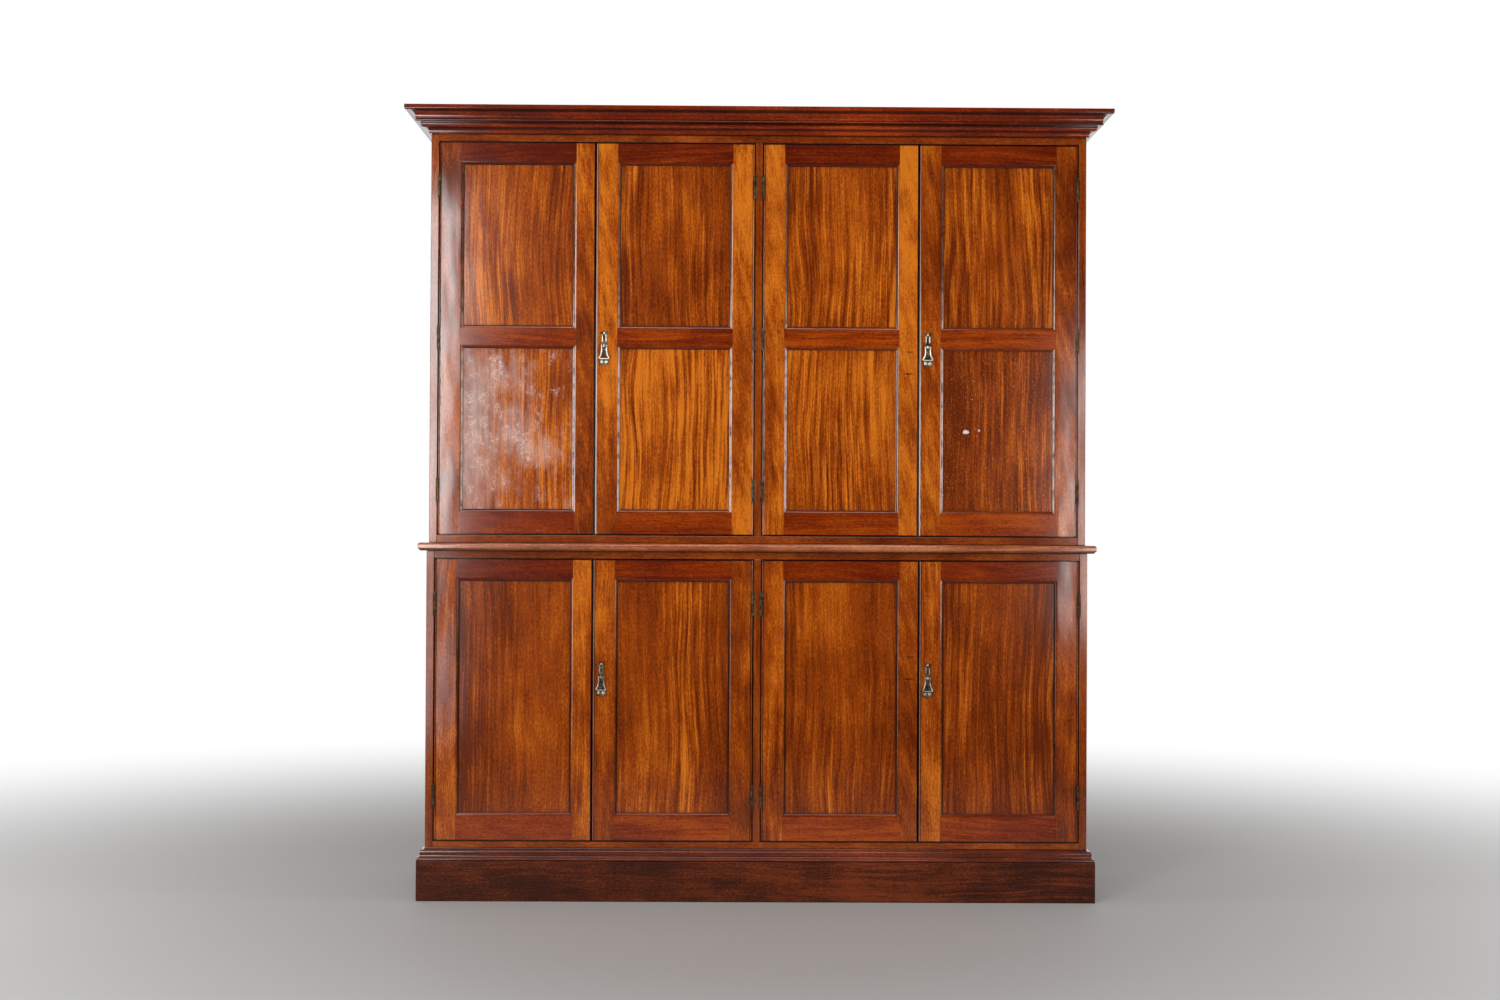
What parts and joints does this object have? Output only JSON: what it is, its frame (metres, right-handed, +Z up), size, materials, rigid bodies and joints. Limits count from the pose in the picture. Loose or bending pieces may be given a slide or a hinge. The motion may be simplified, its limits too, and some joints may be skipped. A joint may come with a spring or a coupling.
{
  "type": "housekeepers cupboard",
  "caption": "Tall two-stage hardwood cupboard with framed and panelled doors above and below a waist board, drop handles, a moulded cornice and a plinth.",
  "frame": {"origin": "on the floor under the middle of the cupboard", "axes": "+Z up, -Y towards the viewer (the doors), +X to the right seen from the front"},
  "size_m": [1.926, 0.566, 2.16],
  "materials": {
    "door_mahogany": "french polish, glossy",
    "moulding_mahogany": "french polish, glossy",
    "plinth_mahogany": "worn polish, duller",
    "end_mahogany": "french polish",
    "carcase_mahogany": "waxed",
    "inside_pine": "bare, aged",
    "hinge_brass": "polished, worn",
    "handle_brass": "aged, dark in the hollows",
    "bolt_brass": "dull",
    "lock_metal": "blackened iron"
  },
  "bodies": {
    "cupboard": {"plinth": "plinth_mahogany", "base_moulding": "moulding_mahogany", "lower_end_left": "end_mahogany", "lower_end_right": "end_mahogany", "lower_bottom_board": "carcase_mahogany", "lower_top_board": "carcase_mahogany", "lower_partition": "carcase_mahogany", "lower_back_boards": "inside_pine", "lower_shelves": "inside_pine", "upper_end_left": "end_mahogany", "upper_end_right": "end_mahogany", "upper_bottom_board": "carcase_mahogany", "upper_top_board": "carcase_mahogany", "upper_partition": "carcase_mahogany", "upper_back_boards": "inside_pine", "upper_shelves": "inside_pine", "waist_board": "moulding_mahogany", "shelf_bearers": "inside_pine", "cornice": "moulding_mahogany", "hinge_frame_leaves": "hinge_brass"},
    "lower_door_1": {"lower_door_1": "door_mahogany", "lower_door_1_hinge_leaves": "hinge_brass", "lower_door_1_slip_case": "bolt_brass"},
    "lower_door_1_slip_bolt": {"lower_door_1_slip_bolt": "bolt_brass"},
    "lower_door_2": {"lower_door_2": "door_mahogany", "lower_door_2_hinge_leaves": "hinge_brass", "lower_door_2_handle_plate": "handle_brass", "lower_door_2_lock_case": "lock_metal"},
    "lower_door_2_drop": {"lower_door_2_drop": "handle_brass"},
    "lower_door_2_lock_bolt": {"lower_door_2_lock_bolt": "lock_metal"},
    "lower_door_3": {"lower_door_3": "door_mahogany", "lower_door_3_hinge_leaves": "hinge_brass", "lower_door_3_slip_case": "bolt_brass"},
    "lower_door_3_slip_bolt": {"lower_door_3_slip_bolt": "bolt_brass"},
    "lower_door_4": {"lower_door_4": "door_mahogany", "lower_door_4_hinge_leaves": "hinge_brass", "lower_door_4_handle_plate": "handle_brass", "lower_door_4_lock_case": "lock_metal"},
    "lower_door_4_drop": {"lower_door_4_drop": "handle_brass"},
    "lower_door_4_lock_bolt": {"lower_door_4_lock_bolt": "lock_metal"},
    "upper_door_1": {"upper_door_1": "door_mahogany", "upper_door_1_hinge_leaves": "hinge_brass", "upper_door_1_slip_case": "bolt_brass"},
    "upper_door_1_slip_bolt": {"upper_door_1_slip_bolt": "bolt_brass"},
    "upper_door_2": {"upper_door_2": "door_mahogany", "upper_door_2_hinge_leaves": "hinge_brass", "upper_door_2_handle_plate": "handle_brass", "upper_door_2_lock_case": "lock_metal"},
    "upper_door_2_drop": {"upper_door_2_drop": "handle_brass"},
    "upper_door_2_lock_bolt": {"upper_door_2_lock_bolt": "lock_metal"},
    "upper_door_3": {"upper_door_3": "door_mahogany", "upper_door_3_hinge_leaves": "hinge_brass", "upper_door_3_slip_case": "bolt_brass"},
    "upper_door_3_slip_bolt": {"upper_door_3_slip_bolt": "bolt_brass"},
    "upper_door_4": {"upper_door_4": "door_mahogany", "upper_door_4_hinge_leaves": "hinge_brass", "upper_door_4_handle_plate": "handle_brass", "upper_door_4_lock_case": "lock_metal"},
    "upper_door_4_drop": {"upper_door_4_drop": "handle_brass"},
    "upper_door_4_lock_bolt": {"upper_door_4_lock_bolt": "lock_metal"}
  },
  "joints": [
    {"name": "lower_door_1_hinges", "type": "hinge", "parent": "cupboard", "child": "lower_door_1", "pos_m": [-0.8775, -0.228, 0.5455], "axis": [0, 0, -1], "range_deg": [0, 170]},
    {"name": "lower_door_1_slip_throw", "type": "slide", "parent": "lower_door_1", "child": "lower_door_1_slip_bolt", "axis": [0, 0, 1], "range_m": [0, 0.012]},
    {"name": "lower_door_2_hinges", "type": "hinge", "parent": "cupboard", "child": "lower_door_2", "pos_m": [-0.013, -0.228, 0.5455], "axis": [0, 0, 1], "range_deg": [0, 85]},
    {"name": "lower_door_2_drop_pin", "type": "hinge", "parent": "lower_door_2", "child": "lower_door_2_drop", "pos_m": [-0.42425, -0.2345, 0.6085], "axis": [-1, 0, 0], "range_deg": [0, 80]},
    {"name": "lower_door_2_lock_throw", "type": "slide", "parent": "lower_door_2", "child": "lower_door_2_lock_bolt", "axis": [-1, 0, 0], "range_m": [0, 0.009]},
    {"name": "lower_door_3_hinges", "type": "hinge", "parent": "cupboard", "child": "lower_door_3", "pos_m": [0.013, -0.228, 0.5455], "axis": [0, 0, -1], "range_deg": [0, 85]},
    {"name": "lower_door_3_slip_throw", "type": "slide", "parent": "lower_door_3", "child": "lower_door_3_slip_bolt", "axis": [0, 0, 1], "range_m": [0, 0.012]},
    {"name": "lower_door_4_hinges", "type": "hinge", "parent": "cupboard", "child": "lower_door_4", "pos_m": [0.8775, -0.228, 0.5455], "axis": [0, 0, 1], "range_deg": [0, 170]},
    {"name": "lower_door_4_drop_pin", "type": "hinge", "parent": "lower_door_4", "child": "lower_door_4_drop", "pos_m": [0.46625, -0.2345, 0.6085], "axis": [-1, 0, 0], "range_deg": [0, 80]},
    {"name": "lower_door_4_lock_throw", "type": "slide", "parent": "lower_door_4", "child": "lower_door_4_lock_bolt", "axis": [-1, 0, 0], "range_m": [0, 0.009]},
    {"name": "upper_door_1_hinges", "type": "hinge", "parent": "cupboard", "child": "upper_door_1", "pos_m": [-0.8725, -0.218, 1.5325], "axis": [0, 0, -1], "range_deg": [0, 170]},
    {"name": "upper_door_1_slip_throw", "type": "slide", "parent": "upper_door_1", "child": "upper_door_1_slip_bolt", "axis": [0, 0, 1], "range_m": [0, 0.012]},
    {"name": "upper_door_2_hinges", "type": "hinge", "parent": "cupboard", "child": "upper_door_2", "pos_m": [-0.013, -0.218, 1.5325], "axis": [0, 0, 1], "range_deg": [0, 85]},
    {"name": "upper_door_2_drop_pin", "type": "hinge", "parent": "upper_door_2", "child": "upper_door_2_drop", "pos_m": [-0.42175, -0.2245, 1.5125], "axis": [-1, 0, 0], "range_deg": [0, 80]},
    {"name": "upper_door_2_lock_throw", "type": "slide", "parent": "upper_door_2", "child": "upper_door_2_lock_bolt", "axis": [-1, 0, 0], "range_m": [0, 0.009]},
    {"name": "upper_door_3_hinges", "type": "hinge", "parent": "cupboard", "child": "upper_door_3", "pos_m": [0.013, -0.218, 1.5325], "axis": [0, 0, -1], "range_deg": [0, 85]},
    {"name": "upper_door_3_slip_throw", "type": "slide", "parent": "upper_door_3", "child": "upper_door_3_slip_bolt", "axis": [0, 0, 1], "range_m": [0, 0.012]},
    {"name": "upper_door_4_hinges", "type": "hinge", "parent": "cupboard", "child": "upper_door_4", "pos_m": [0.8725, -0.218, 1.5325], "axis": [0, 0, 1], "range_deg": [0, 170]},
    {"name": "upper_door_4_drop_pin", "type": "hinge", "parent": "upper_door_4", "child": "upper_door_4_drop", "pos_m": [0.46375, -0.2245, 1.5125], "axis": [-1, 0, 0], "range_deg": [0, 80]},
    {"name": "upper_door_4_lock_throw", "type": "slide", "parent": "upper_door_4", "child": "upper_door_4_lock_bolt", "axis": [-1, 0, 0], "range_m": [0, 0.009]}
  ]
}
